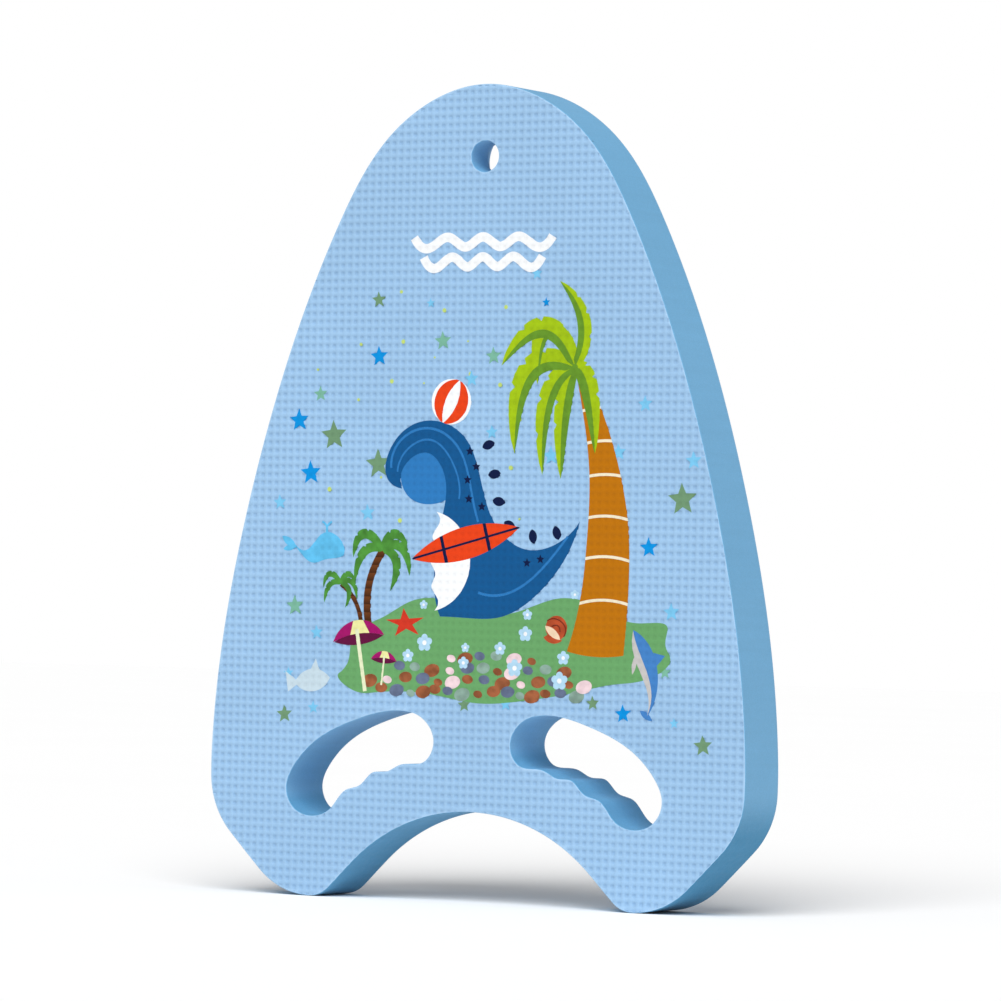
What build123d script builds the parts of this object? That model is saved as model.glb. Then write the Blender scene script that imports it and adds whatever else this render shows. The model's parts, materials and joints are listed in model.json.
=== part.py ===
from build123d import *
import os
from math import atan2, cos, hypot, pi, radians, sin

# Kickboard float of EVA foam, standing upright on its two lobes: a thick core between two embossed
# facing sheets, with a transfer print on the front facing. Millimetres. X runs across the board,
# +Y is its back, +Z runs along its length to the nose. The origin is the middle of its foot.

# Board outline
LENGTH = 430.0
HALF_WIDTH = 161.8
WIDEST_AT = 75.0
SHOULDERS = ((57.5, 405.0), (88.0, 360.0), (114.0, 300.0), (141.5, 210.0), (156.5, 135.0))
ARCH_HEIGHT = 48.0
ARCH_RADIUS = 103.0
FLANK_ANGLE = 44.5
HIP_CORNER = 44.9
HIP_RADIUS = 45.0
LOBE_OUTER_RADIUS = 45.0
LOBE_INNER_RADIUS = 16.0

# Layers from front to back
INK = 0.1
FACING = 2.0
CORE = 33.0
TOTAL = INK + 2 * FACING + CORE
INK_BACK = INK - TOTAL / 2
FRONT_FACING_BACK = INK_BACK + FACING
CORE_BACK = FRONT_FACING_BACK + CORE
BACK = TOTAL / 2

# Hang hole: straight behind the front face, flared towards the back
HANG_HEIGHT = 392.0
HANG_RADIUS = 8.3
HANG_STRAIGHT = 17.0
HANG_FLARE_RADIUS = 18.5

# Hand holes, given for the right one: a bean-shaped slot with finger waves along its lower edge
HAND_TOP = ((37.0, 99.0), (46.0, 99.8), (70.0, 94.7), (94.0, 83.8), (109.5, 68.5))
HAND_END = ((113.8, 57.0), (109.0, 46.4), (96.5, 42.5))
HAND_INNER = ((29.5, 73.0), (23.3, 84.0))
FINGER_CRESTS = ((43.5, 71.3), (60.0, 66.8), (76.5, 57.0))
FINGER_RECESSES = ((52.0, 67.4), (68.3, 59.6))
FINGER_END = (86.0, 46.8)

# Big palm in the print
CROWN = (57.0, 281.0)
CROWN_KNOT = 1.8
TRUNK_TOP = 280.0
BAND_HEIGHTS = (159.0, 181.5, 202.5, 224.0, 241.5, 259.0)
BAND_WIDTH = 1.5
BAND_RISE = 3.0


def layer(shape, back_y, depth):
    """Solids that fill a front-view shape from back_y forward by depth."""
    sketch_plane = Plane(origin=(0, back_y, 0), x_dir=(1, 0, 0), z_dir=(0, -1, 0))
    return extrude(sketch_plane * shape, amount=depth, dir=(0, -1, 0))


def join(shapes):
    """One sketch from a list of flat shapes."""
    return Sketch() + list(shapes)


def polygon(points):
    """Face inside a closed run of straight edges."""
    return make_face(Polyline(*points, close=True))


def smooth_blob(points):
    """Face inside one smooth closed curve."""
    return make_face(Spline(*points, periodic=True))


def lens(tail, nose, half_width):
    """Pointed oval from one point to another."""
    across = (Vector(*nose) - Vector(*tail)).rotate(Axis.Z, 90).normalized() * half_width
    middle = (Vector(*nose) + Vector(*tail)) / 2
    upper = ThreePointArc(tail, middle + across, nose)
    lower = ThreePointArc(nose, middle - across, tail)
    return make_face([upper, lower])


def oval(x, z, half_long, half_short, turn=0):
    return Pos(x, z) * Rot(0, 0, turn) * Ellipse(half_long, half_short)


def stroke(points, width):
    """Ribbon of constant width along a smooth line."""
    return trace(Spline(*points), line_width=width)


def overlap(shape, window):
    """What two flat shapes share."""
    return shape - (shape - window)


def star(x, z, radius, turn=0.0, waist=0.45):
    """Five-pointed star, its first point up."""
    points = []
    for k in range(10):
        reach = radius if k % 2 == 0 else radius * waist
        angle = radians(90 + turn + 36 * k)
        points.append((x + reach * cos(angle), z + reach * sin(angle)))
    return polygon(points)


# ---- the foam board ----

def board_outline():
    """Front view of the board: rounded nose, straight hips, two lobes and the arch between them."""
    lean = radians(FLANK_ANGLE)
    arch_end = (ARCH_RADIUS * sin(lean), ARCH_HEIGHT - ARCH_RADIUS * (1 - cos(lean)))
    lobe_inner = (arch_end[0] + arch_end[1] / sin(lean) * cos(lean), 0)
    hip = (HALF_WIDTH, HIP_CORNER)
    lobe_outer = (HALF_WIDTH - HIP_CORNER, 0)
    right = SHOULDERS + ((HALF_WIDTH, WIDEST_AT),)
    left = tuple((-x, z) for x, z in reversed(right))
    sides = Spline(*left, (0, LENGTH), *right)
    edge = Polyline(right[-1], hip, lobe_outer, lobe_inner, arch_end)
    arch_middle = (ARCH_RADIUS * sin(lean / 2), ARCH_HEIGHT - ARCH_RADIUS * (1 - cos(lean / 2)))
    half_arch = ThreePointArc(arch_end, arch_middle, (0, ARCH_HEIGHT))
    half = edge.edges() + half_arch.edges()
    outline = make_face(sides.edges() + half + [line.mirror(Plane.YZ) for line in half])
    rounds = ((hip, HIP_RADIUS), (lobe_outer, LOBE_OUTER_RADIUS), (lobe_inner, LOBE_INNER_RADIUS))
    for corner, radius in rounds:
        for side_x in (corner[0], -corner[0]):
            spot = outline.vertices().sort_by_distance((side_x, corner[1], 0))[0]
            outline = fillet(spot, radius)
    return outline


def hand_hole():
    """Front view of the right hand hole, with three crests between four finger recesses."""
    grip = [HAND_INNER[0], FINGER_CRESTS[0], FINGER_RECESSES[0], FINGER_CRESTS[1]]
    grip += [FINGER_RECESSES[1], FINGER_CRESTS[2], FINGER_END]
    rim = list(HAND_TOP) + list(HAND_END) + grip[::-1] + [HAND_INNER[1]]
    return smooth_blob(rim)


def pierced_outline():
    """Board outline with both hand holes cut through it."""
    right = hand_hole()
    return board_outline() - right - mirror(right, Plane.YZ)


def hang_hole_cutter():
    """Straight bore from the front that flares from half depth to the back face."""
    front = -TOTAL / 2
    flare_start = INK_BACK + HANG_STRAIGHT
    profile = polygon((
        (0, front),
        (HANG_RADIUS, front),
        (HANG_RADIUS, flare_start),
        (HANG_FLARE_RADIUS, BACK),
        (0, BACK),
    ))
    return Pos(0, 0, HANG_HEIGHT) * revolve(profile, Axis.Y)


# ---- the print ----

# Ripple lines: the height and half length of each, and their shape
RIPPLES = ((347.0, 42.0), (336.5, 36.0))
RIPPLE_BENDS = 8
RIPPLE_RISE = 2.6
RIPPLE_WIDTH = 5.0


def ripples():
    """Two plain wave lines near the nose."""
    lines = []
    for height, reach in RIPPLES:
        spacing = 2 * reach / RIPPLE_BENDS
        line = [(k * spacing - reach, height + RIPPLE_RISE * (-1) ** k) for k in range(RIPPLE_BENDS + 1)]
        lines.append(stroke(line, RIPPLE_WIDTH))
    return join(lines)


def trunk_edges():
    left = ((56.0, 133.5), (63.5, 162.0), (66.5, 192.0), (67.0, 226.0), (61.0, 264.0), (57.5, TRUNK_TOP))
    right = ((62.0, TRUNK_TOP), (70.5, 265.0), (83.5, 232.0), (90.0, 204.0), (91.8, 172.0), (89.5, 132.0))
    return left, right


def palm_trunk():
    left, right = trunk_edges()
    lower = ThreePointArc(right[-1], (73.0, 131.0), left[0])
    return make_face([Spline(*left), Line(left[-1], right[0]), Spline(*right), lower])


def trunk_bands():
    """Pale rings across the trunk, each bowed upwards."""
    trunk = palm_trunk()
    bands = []
    for height in BAND_HEIGHTS:
        low = height - 2 * BAND_RISE
        bow = ThreePointArc((50.0, low), (77.0, height + BAND_RISE / 2), (104.0, low))
        bands.append(overlap(trace(bow, line_width=BAND_WIDTH), trunk))
    return join(bands)


def spine_point(base, bend, tip, along):
    """Place and sideways direction on a leaf's curved spine."""
    stay = 1 - along
    place = [stay * stay * base[i] + 2 * stay * along * bend[i] + along * along * tip[i] for i in (0, 1)]
    run = [2 * stay * (bend[i] - base[i]) + 2 * along * (tip[i] - bend[i]) for i in (0, 1)]
    size = hypot(run[0], run[1])
    return place, (-run[1] / size, run[0] / size)


def half_frond(base, bend, tip, width, notches=()):
    """Blade on one side of a leaf's spine, split by V notches; a negative width is the other side."""
    steps = 16
    spine = [tuple(spine_point(base, bend, tip, k / steps)[0]) for k in range(steps + 1)]
    edge = []
    for k in range(1, steps):
        cuts = ((0.0, 1.0), (NOTCH_LEAN, NOTCH_DEPTH)) if k in notches else ((0.0, 1.0),)
        for extra, share in cuts:
            along = (k + extra) / steps
            place, side = spine_point(base, bend, tip, along)
            reach = width * share * sin(pi * (0.14 + 0.86 * along)) ** 0.7
            edge.append((place[0] + side[0] * reach, place[1] + side[1] * reach))
    return polygon(spine + edge[::-1])


# Notches in the leaf blades: how far each one leans along the leaf, and what width it leaves
NOTCH_LEAN = 0.3
NOTCH_DEPTH = 0.66

# Each big leaf: its bend, its tip, the width of its lit blade and of its shaded blade
BIG_LEAVES = (
    ((71.0, 306.0), (47.0, 326.0), 4.4, -3.8),
    ((40.0, 320.0), (13.0, 282.0), 7.0, -4.5),
    ((34.0, 320.0), (35.0, 272.0), 7.5, -2.6),
    ((20.0, 296.0), (22.0, 236.0), 8.0, -5.0),
    ((35.0, 276.0), (39.0, 225.0), 6.0, -4.2),
    ((48.0, 268.0), (50.0, 223.0), 5.5, -4.6),
    ((67.0, 282.0), (70.0, 236.0), -6.0, 5.0),
)
BLADE_NOTCHES = ((5, 9, 12), (4, 8, 11), (6, 10, 13), (4, 7, 10), (5, 8, 12), (7, 10), (3, 6, 9))


def palm_blades(lit):
    """All lit or all shaded blades of the big palm; the shaded ones meet in a small knot."""
    blades = [] if lit else [Pos(*CROWN) * Circle(CROWN_KNOT)]
    for (bend, tip, lit_width, shaded_width), notches in zip(BIG_LEAVES, BLADE_NOTCHES):
        if lit:
            blades.append(half_frond(CROWN, bend, tip, -lit_width, notches))
        else:
            blades.append(half_frond(CROWN, bend, tip, -shaded_width))
    return join(blades)


# Each small palm: foot, bend and top of its trunk, and how far its leaves reach
SMALL_PALMS = (
    ((-64.5, 144.0), (-65.0, 166.0), (-57.0, 184.0), 21.0),
    ((-69.5, 146.0), (-74.0, 158.0), (-82.5, 166.0), 12.5),
)
# Each leaf of a small palm: its bend and its tip from the top of the trunk, as shares of the reach
SMALL_LEAVES = (
    ((-0.70, 0.85), (-0.86, -0.18)),
    ((-0.66, 0.26), (-0.80, -0.80)),
    ((0.30, 0.72), (0.72, 0.10)),
    ((0.66, 0.42), (0.80, -0.62)),
    ((0.62, -0.10), (0.24, -1.00)),
)


def small_trunks():
    trunks = []
    for foot, bend, top, reach in SMALL_PALMS:
        trunks.append(stroke((foot, bend, top), 0.2 * reach))
    return join(trunks)


def small_leaves():
    """Drooping plain leaves around the top of each small palm."""
    leaves = []
    for foot, bend, top, reach in SMALL_PALMS:
        for leaf_bend, leaf_tip in SMALL_LEAVES:
            high = (top[0] + reach * leaf_bend[0], top[1] + reach * leaf_bend[1])
            tip = (top[0] + reach * leaf_tip[0], top[1] + reach * leaf_tip[1])
            width = 0.17 * reach * (1 if leaf_tip[0] > 0 else -1)
            leaves.append(half_frond(top, high, tip, width, (6, 10)))
            leaves.append(half_frond(top, high, tip, -0.5 * width))
    return join(leaves)


def island():
    shore = (
        (-82, 119), (-76, 129), (-75, 138), (-58, 148), (-38, 158), (-20, 159), (2, 152), (28, 154),
        (52, 161), (74, 157), (98, 149), (115, 147), (114, 138), (117, 131), (108, 122), (84, 117),
        (60, 112), (30, 107), (4, 105), (-26, 109), (-60, 109), (-76, 111),
    )
    return smooth_blob(shore)


# Pebble beach: rows of ovals whose size, tilt and colour follow plain waves
PEBBLE_ROWS = (
    (110.5, -56.0, 62.0, 15),
    (116.5, -62.0, 68.0, 14),
    (122.5, -44.0, 54.0, 11),
    (129.0, -14.0, 34.0, 6),
)
PEBBLE_ORDER = ("brown", "slate", "sage", "brown", "pink")


def pebbles(colour):
    """Pebbles of one colour."""
    stones = []
    for row, (height, start, end, count) in enumerate(PEBBLE_ROWS):
        for k in range(count):
            turn = 2.4 * k + 1.7 * row
            if PEBBLE_ORDER[(k + 3 * row + k // 4) % len(PEBBLE_ORDER)] == colour:
                x = start + (end - start) * k / (count - 1) + 1.4 * sin(3 * turn)
                size = 3.7 + 1.1 * sin(turn)
                stones.append(oval(x, height + 1.3 * cos(2 * turn), size, 0.72 * size, 14 * sin(turn)))
    return join(stones)


FLOWERS = (
    (-30, 136, 4.8), (25, 124, 4.8), (52, 118, 5.0), (31, 142, 4.2), (-40, 129, 3.6), (16, 134, 3.6),
    (54, 130, 3.8), (32, 152, 3.0), (-31, 156, 2.5), (-5, 134, 2.6), (-6, 126, 3.4), (60, 163, 2.6),
)
HEART = 0.27


def flower_petals():
    petals = []
    for x, z, radius in FLOWERS:
        reach = 0.58 * radius
        for k in range(5):
            angle = radians(90 + 72 * k)
            petals.append(Pos(x + reach * cos(angle), z + reach * sin(angle)) * Circle(0.4 * radius))
    return join(petals)


def flower_hearts():
    return join([Pos(x, z) * Circle(HEART * radius) for x, z, radius in FLOWERS])


# Parasols: foot of the pole, top of the canopy, half its width and its tilt
PARASOLS = (((-66.0, 109.5), (-72.0, 147.0), 16.0, 8.0), ((-56.0, 113.0), (-54.5, 131.0), 8.0, -4.0))


def canopy(top, half_width, tilt):
    """Side view of a parasol canopy."""
    rim = -0.62 * half_width
    dome = ThreePointArc((-half_width, rim), (0, 0), (half_width, rim))
    hem = ThreePointArc((half_width, rim), (0, 0.72 * rim), (-half_width, rim))
    return Pos(*top) * Rot(0, 0, tilt) * make_face([dome, hem])


def parasol_canopies():
    return join([canopy(top, half_width, tilt) for foot, top, half_width, tilt in PARASOLS])


def parasol_stripes():
    """Pale middle panel of each canopy."""
    panels = []
    for foot, top, half_width, tilt in PARASOLS:
        upper_edge = ((-0.12 * half_width, 1), (0.2 * half_width, 1))
        lower_edge = ((0.66 * half_width, -half_width), (-0.5 * half_width, -half_width))
        wedge = Pos(*top) * Rot(0, 0, tilt) * polygon(upper_edge + lower_edge)
        panels.append(overlap(wedge, canopy(top, half_width, tilt)))
    return join(panels)


def parasol_undersides():
    """Dark inside of each canopy, below its hem."""
    undersides = []
    for foot, top, half_width, tilt in PARASOLS:
        rim = -0.62 * half_width
        inside = lens((-0.96 * half_width, rim), (0.96 * half_width, rim), 0.2 * half_width)
        undersides.append(Pos(*top) * Rot(0, 0, tilt) * inside)
    return join(undersides)


def parasol_poles():
    poles = []
    for foot, top, half_width, tilt in PARASOLS:
        pole = Line(foot, (top[0], top[1] - 0.3 * half_width))
        poles.append(trace(pole, line_width=0.14 * half_width))
    return join(poles)


def wave_body():
    """Deep blue breaker that curls over to the left and runs out in a low tail to the right."""
    tail = (62.0, 201.0)
    lip = (-46.0, 217.0)
    foot = (-21.0, 150.0)
    back = ((48.0, 189.0), (30.0, 186.0), (12.0, 198.0), (2.0, 222.0), (-9.0, 245.0))
    crest = ((-32.0, 253.0), (-52.0, 241.0), (-56.0, 224.0))
    front = ((-44.0, 230.0), (-31.0, 236.0), (-20.0, 224.0), (-21.0, 202.0), (-25.0, 176.0))
    underside = ((-4.0, 149.5), (16.0, 150.5), (40.0, 165.0), (54.0, 182.0))
    lines = [Spline(tail, *back, *crest, lip), Spline(lip, *front, foot), Spline(foot, *underside, tail)]
    return make_face(lines)


def wave_hollow():
    """Lighter water inside the curl."""
    rim = ((-47, 224), (-44, 233), (-30, 240), (-16, 230), (-16, 214), (-28, 209), (-42, 213))
    return smooth_blob(rim)


def wave_foam():
    """White water up the front of the breaker, with a scalloped edge."""
    edge = []
    for k in range(9):
        height = 153.0 + 6.5 * k
        edge.append((-23.0 - 3.0 * sin(pi * k / 8) + (1.4 if k % 2 else -1.4), height))
    inner = ThreePointArc(edge[-1], (-3.5, 176.0), edge[0])
    return make_face([Spline(*edge), inner])


def wave_streaks():
    """Lighter lines of water that follow the breaker round."""
    outer = ((-53.0, 228.0), (-47.0, 243.0), (-30.0, 249.0), (-13.0, 240.0), (-4.0, 218.0), (1.0, 200.0))
    inner = ((-49.0, 226.0), (-44.0, 237.0), (-30.0, 243.0), (-16.0, 232.0), (-11.0, 212.0))
    low = ((2.0, 163.0), (20.0, 163.0), (40.0, 176.0), (55.0, 193.0))
    return join([stroke(outer, 1.3), stroke(inner, 1.0), stroke(low, 1.3)])


DROPS = ((5, 240, 20), (9, 225, 8), (12, 211, -8), (19, 199, -28), (34, 194, -80), (48, 196, -70))
FLECKS = ((-5, 237), (-6, 222), (3, 208), (31, 179), (39, 181), (-1, 229), (-5, 212))


def spray():
    """Dark drops thrown up along the breaker's back and flecks in its water."""
    drops = [Pos(x, z) * Rot(0, 0, turn) * lens((-2.6, 0), (5.0, 0), 2.4) for x, z, turn in DROPS]
    return join(drops + [star(x, z, 2.6) for x, z in FLECKS])


def beach_ball():
    """Ball resting on the crest, and its pale panels."""
    radius = 12.0
    pole = radius * 1.04
    ball = Circle(radius)
    middle = lens((0, -pole), (0, pole), 0.3 * radius)
    sides = ball - lens((0, -pole), (0, pole), 0.84 * radius)
    place = Pos(-17.0, 263.0) * Rot(0, 0, -24)
    return place * ball, place * join([overlap(middle, ball), sides])


SURF_TAIL = (26.0, 197.5)
SURF_NOSE = (-39.0, 180.0)


def surfboard():
    return lens(SURF_TAIL, SURF_NOSE, 8.5)


def surf_lines():
    """Stringer and two cross bands on the surfboard."""
    board = surfboard()
    along = Vector(*SURF_NOSE) - Vector(*SURF_TAIL)
    tilt = atan2(along.Y, along.X) * 180 / pi
    lines = [trace(Line(SURF_TAIL, SURF_NOSE), line_width=1.2)]
    for share in (0.3, 0.7):
        spot = Vector(*SURF_TAIL) + along * share
        lines.append(Pos(spot.X, spot.Y) * Rot(0, 0, tilt) * Rectangle(2.0, 20.0))
    return overlap(join(lines), board)


def starfish():
    return Pos(-42.0, 146.0) * scale(star(0, 0, 8.0, 6, 0.36), by=(1.55, 1.0, 1.0))


def shell_back():
    return join([Pos(49.5, 145.5) * Circle(6.4), lens((42.0, 140.5), (53.0, 139.0), 2.4)])


def shell_mouth():
    return lens((42.6, 146.5), (52.0, 139.4), 2.0)


def shell_whorl():
    """Curved lines round the shell."""
    outer = stroke(((43.9, 149.0), (49.0, 150.2), (54.6, 146.2), (54.0, 141.0)), 0.7)
    inner = stroke(((46.6, 146.2), (50.4, 146.6), (51.8, 143.4)), 0.7)
    return join([outer, inner])


def whale():
    """Small whale seen from the side, with a spout."""
    rim = ((-112, 187), (-104, 184), (-94, 193), (-83, 189), (-81, 182), (-92, 179), (-106, 180))
    body = smooth_blob(rim)
    flukes = [lens((-111, 185), (-120, 191), 2.0), lens((-111, 186), (-119, 184), 1.6)]
    left_jet = stroke(((-92, 193), (-92.5, 197), (-95, 199)), 1.1)
    right_jet = stroke(((-92, 193), (-91.5, 197), (-89, 199)), 1.1)
    return join([body, left_jet, right_jet] + flukes)


def fish():
    """Small pale fish seen from the side."""
    body = lens((-110.0, 113.0), (-88.0, 116.0), 6.0)
    tail = polygon(((-107, 113), (-116, 119), (-114, 108)))
    fin = polygon(((-102, 117), (-97, 126), (-94, 118)))
    return join([body, tail, fin])


def dolphin_back():
    """Leaping dolphin, its back and fins."""
    body = make_face([
        Spline((95.0, 145.5), (104.0, 138.5), (110.0, 122.0), (103.0, 99.5)),
        Spline((103.0, 99.5), (104.6, 118.0), (99.0, 132.0), (95.0, 145.5)),
    ])
    dorsal = polygon(((107.0, 134.0), (114.0, 132.5), (109.0, 127.0)))
    flukes = lens((100.0, 104.0), (107.0, 99.0), 1.6)
    return join([body, dorsal, flukes])


def dolphin_belly():
    flipper = lens((97.0, 133.0), (95.0, 122.5), 1.3)
    belly = make_face([
        Spline((95.0, 145.0), (97.5, 128.0), (104.5, 112.0), (104.0, 101.0)),
        Spline((104.0, 101.0), (105.6, 118.0), (99.8, 132.0), (95.0, 145.0)),
    ])
    return join([belly, flipper])


# Stars by colour: x, z and radius
GREEN_STARS = (
    (-63, 317, 4.4), (-89, 245, 8.2), (-61, 230, 8.0), (-116, 96, 5.0), (-5, 104, 4.0), (72, 107, 4.0),
    (122, 213, 8.6), (137, 87, 5.6),
)
SAGE_STARS = ((-98, 267, 4.3), (-23, 295, 5.2), (8, 287, 4.8), (-111, 154, 5.6), (114, 124, 3.6))
BLUE_STARS = (
    (-62, 287, 5.6), (-111, 253, 6.2), (-103, 225, 6.6), (39, 315, 2.5), (103, 188, 5.4), (90, 102, 4.9),
)
CYAN_STARS = (
    (-5, 275, 4.4), (-67, 204, 4.8), (-122, 209, 4.2), (99, 262, 4.4), (128, 233, 4.8), (84, 237, 4.6),
    (44, 235, 5.2), (8, 247, 3.8), (117, 155, 4.8), (-97, 140, 4.0), (-98, 100, 3.6), (20, 105, 3.6),
    (120, 98, 2.8), (33, 330, 3.4), (-31, 315, 2.6), (-114, 118, 3.2),
)


def stars(places):
    return join([star(x, z, radius, 4) for x, z, radius in places])


def dots():
    """Small dots scattered on a widening spiral above and left of the picture."""
    specks = []
    for k in range(34):
        reach = 16.0 + 2.1 * k
        angle = radians(137.5 * k)
        x = -20.0 + 1.05 * reach * cos(angle)
        z = 262.0 + 0.88 * reach * sin(angle)
        if hypot(x + 20.0, z - 235.0) > 40.0:
            specks.append(Pos(x, z) * Circle(0.9 + 0.35 * sin(5 * k)))
    return join(specks)


def print_shapes():
    """Print colours from the uppermost to the lowest, each with its full shape."""
    ball, ball_panels = beach_ball()
    return [
        ("print_ripples", ripples()),
        ("print_flower_hearts", flower_hearts()),
        ("print_flower_petals", flower_petals()),
        ("print_surf_lines", surf_lines()),
        ("print_surfboard", surfboard()),
        ("print_parasol_poles", parasol_poles()),
        ("print_parasol_stripes", parasol_stripes()),
        ("print_parasol_canopies", parasol_canopies()),
        ("print_parasol_undersides", parasol_undersides()),
        ("print_small_palm_leaves", small_leaves()),
        ("print_small_palm_trunks", small_trunks()),
        ("print_palm_leaves_shaded", palm_blades(False)),
        ("print_palm_leaves_lit", palm_blades(True)),
        ("print_trunk_bands", trunk_bands()),
        ("print_palm_trunk", palm_trunk()),
        ("print_ball_panels", ball_panels),
        ("print_ball", ball),
        ("print_spray", spray()),
        ("print_wave_foam", wave_foam()),
        ("print_wave_streaks", wave_streaks()),
        ("print_wave", wave_body()),
        ("print_wave_hollow", wave_hollow()),
        ("print_starfish", starfish()),
        ("print_shell_mouth", shell_mouth()),
        ("print_shell_whorl", shell_whorl()),
        ("print_shell", shell_back()),
        ("print_dolphin_belly", dolphin_belly()),
        ("print_dolphin", dolphin_back()),
        ("print_whale", whale()),
        ("print_fish", fish()),
        ("print_pebbles_slate", pebbles("slate")),
        ("print_pebbles_pink", pebbles("pink")),
        ("print_pebbles_brown", pebbles("brown")),
        ("print_pebbles_sage", pebbles("sage")),
        ("print_island", island()),
        ("print_stars_green", stars(GREEN_STARS)),
        ("print_stars_sage", stars(SAGE_STARS)),
        ("print_stars_blue", stars(BLUE_STARS)),
        ("print_stars_cyan", stars(CYAN_STARS)),
        ("print_dots", dots()),
    ]


def board_nodes():
    """The core and the two facings, with the hang hole cut through them."""
    outline = pierced_outline()
    cutter = hang_hole_cutter()
    return [
        ("core", layer(outline, CORE_BACK, CORE) - cutter),
        ("front_facing", layer(outline, FRONT_FACING_BACK, FACING) - cutter),
        ("back_facing", layer(outline, BACK, FACING) - cutter),
    ]


def boxes_meet(first, second):
    """Whether the bounding boxes of two flat shapes overlap."""
    a, b = first.bounding_box(), second.bounding_box()
    apart_x = a.min.X > b.max.X or b.min.X > a.max.X
    apart_z = a.min.Y > b.max.Y or b.min.Y > a.max.Y
    return not (apart_x or apart_z)


def print_nodes():
    """Flat ink patches that meet edge to edge, because each is cut away under the ones above it."""
    nodes = []
    upper_faces = []
    for name, shape in print_shapes():
        visible = shape
        for upper in upper_faces:
            if boxes_meet(upper, shape):
                visible = visible - upper
        upper_faces += shape.faces()
        nodes.append((name, layer(visible, INK_BACK, INK)))
    return nodes


os.makedirs("parts", exist_ok=True)
for node_name, solid in board_nodes() + print_nodes():
    export_step(solid, f"parts/{node_name}.step")
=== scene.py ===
import json
import math
from collections import Counter

import bmesh
import bpy
import numpy as np
from mathutils import Matrix, Vector
from mathutils.geometry import delaunay_2d_cdt


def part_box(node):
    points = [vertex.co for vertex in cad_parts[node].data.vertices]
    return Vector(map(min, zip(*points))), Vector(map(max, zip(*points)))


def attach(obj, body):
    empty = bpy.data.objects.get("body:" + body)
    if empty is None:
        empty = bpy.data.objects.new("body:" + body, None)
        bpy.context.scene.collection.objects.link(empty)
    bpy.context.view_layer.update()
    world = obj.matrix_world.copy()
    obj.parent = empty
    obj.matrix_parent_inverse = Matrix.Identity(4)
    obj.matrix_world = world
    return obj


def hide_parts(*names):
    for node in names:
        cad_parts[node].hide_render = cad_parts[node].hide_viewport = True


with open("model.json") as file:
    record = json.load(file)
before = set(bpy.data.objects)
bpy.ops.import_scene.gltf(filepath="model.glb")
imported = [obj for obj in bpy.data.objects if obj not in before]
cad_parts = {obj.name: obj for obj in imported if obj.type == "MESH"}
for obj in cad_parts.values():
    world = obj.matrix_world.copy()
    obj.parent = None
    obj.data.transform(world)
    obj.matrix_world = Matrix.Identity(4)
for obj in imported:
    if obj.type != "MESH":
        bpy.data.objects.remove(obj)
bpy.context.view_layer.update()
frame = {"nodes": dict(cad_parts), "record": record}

# Kickboard float: embossed facings, foam core and ink patches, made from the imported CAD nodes.
# Shapes are worked out in millimetres on the board's front view (x, z) and written in metres.

MM = 0.001
RECORD = frame["record"]
NODE_SLOT = {row["node"]: row["material_slot"] for row in RECORD["subparts"]}
SLOT_COLOR = {row["slot"]: row["base_color"][:3] for row in RECORD["materials"]}

# Embossing: pitch and depth of the dimples, half widths of a dimple's mouth and floor, the mouth's
# twelve points as shares of LIP, and the share of its depth that a dimple keeps at the cut edge
PITCH = 4.3
PIT_DEPTH = 0.5
LIP = 1.42
FLOOR_HALF = 0.78
LONG, SHORT, DIAGONAL = 0.97, 0.443, 0.794
RIM_SHARE = 0.3

# Painted shade and light on the cut walls: 0 is plain, 1 is the wall's painted shade colour and
# below 0 is painted light, paler. For the two hand holes and the hang hole: upright walls and
# ceilings, then floors
HOLE_PAINTED_LIGHT_AND_SHADE = ((-0.5, 0.8), (-0.5, 0.8), (-0.5, 0.3))
# For the outline, painted shade: on walls that face up, and what is added to the 1 of walls that
# face down further than HIP_FROM from the middle
TOP_PAINTED_SHADE = 0.35
HIP_PAINTED_SHADE = 0.45
HIP_FROM = 100.0
# The vertical share of a wall's normal at which its painted shade is complete
FULL_PAINTED_SHADE_AT = 0.6

# Rounded cut edge: its radius, then ring by ring from the face the share of the radius still inset,
# the share of it sunk, and the painted highlight with wear
EDGE_ROUND = 0.45
EDGE_RINGS = ((0.35, 0.12, 1.0), (0.07, 0.5, 0.8), (0.0, 1.0, 0.0))
# Least drop of a ring under the face's own rim, and how that grows with the share sunk
EDGE_DROP, EDGE_DROP_GAIN = 0.03, 4

# Outlines: turns with a smaller cosine than CORNER stay corners, the others get points this close
CORNER = 0.86
OUTLINE_STEP = 2.2
HANG_STEP = 0.7
INK_STEP = 1.2
# Ink outlines with no more points than this stay as they are
INK_PLAIN = 40

# Ink films: depth of the root under the face, share of a dimple's depth that the top follows, and
# the gap left round each film
INK_ROOT = 0.05
INK_SINK = 0.35
INK_GAP = 0.015

# Meshes: reach of the CAD cap search, step along an outline when marking cells, tolerance of the
# triangulation, least doubled area, and distance at which vertices are joined
CAP_REACH = 0.02
TRACE_STEP = 0.3
CDT_EPSILON = 1e-7
LEAST_AREA = 1e-10
TOUCH = 0.01
SHARP_DEGREES = 50

# Bands down the core's wall: along the straight part of the hang hole, then along its flare
STRAIGHT_BANDS, FLARE_BANDS = 4, 5


# ---- triangles and outlines ----

def double_area(points, tris):
    """Twice the area of each flat triangle, above zero when it runs anticlockwise."""
    a, b, c = (points[tris[:, k]] for k in range(3))
    return (b[:, 0] - a[:, 0]) * (c[:, 1] - a[:, 1]) - (b[:, 1] - a[:, 1]) * (c[:, 0] - a[:, 0])


def anticlockwise(points, tris):
    """The flat triangles, each turned anticlockwise."""
    return np.where((double_area(points, tris) < 0)[:, None], tris[:, ::-1], tris)


def loop_edges(loops, start):
    """Edges along closed outlines whose points are numbered from start."""
    edges = []
    for loop in loops:
        count = len(loop)
        edges += [(start + k, start + (k + 1) % count) for k in range(count)]
        start += count
    return edges


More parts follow.
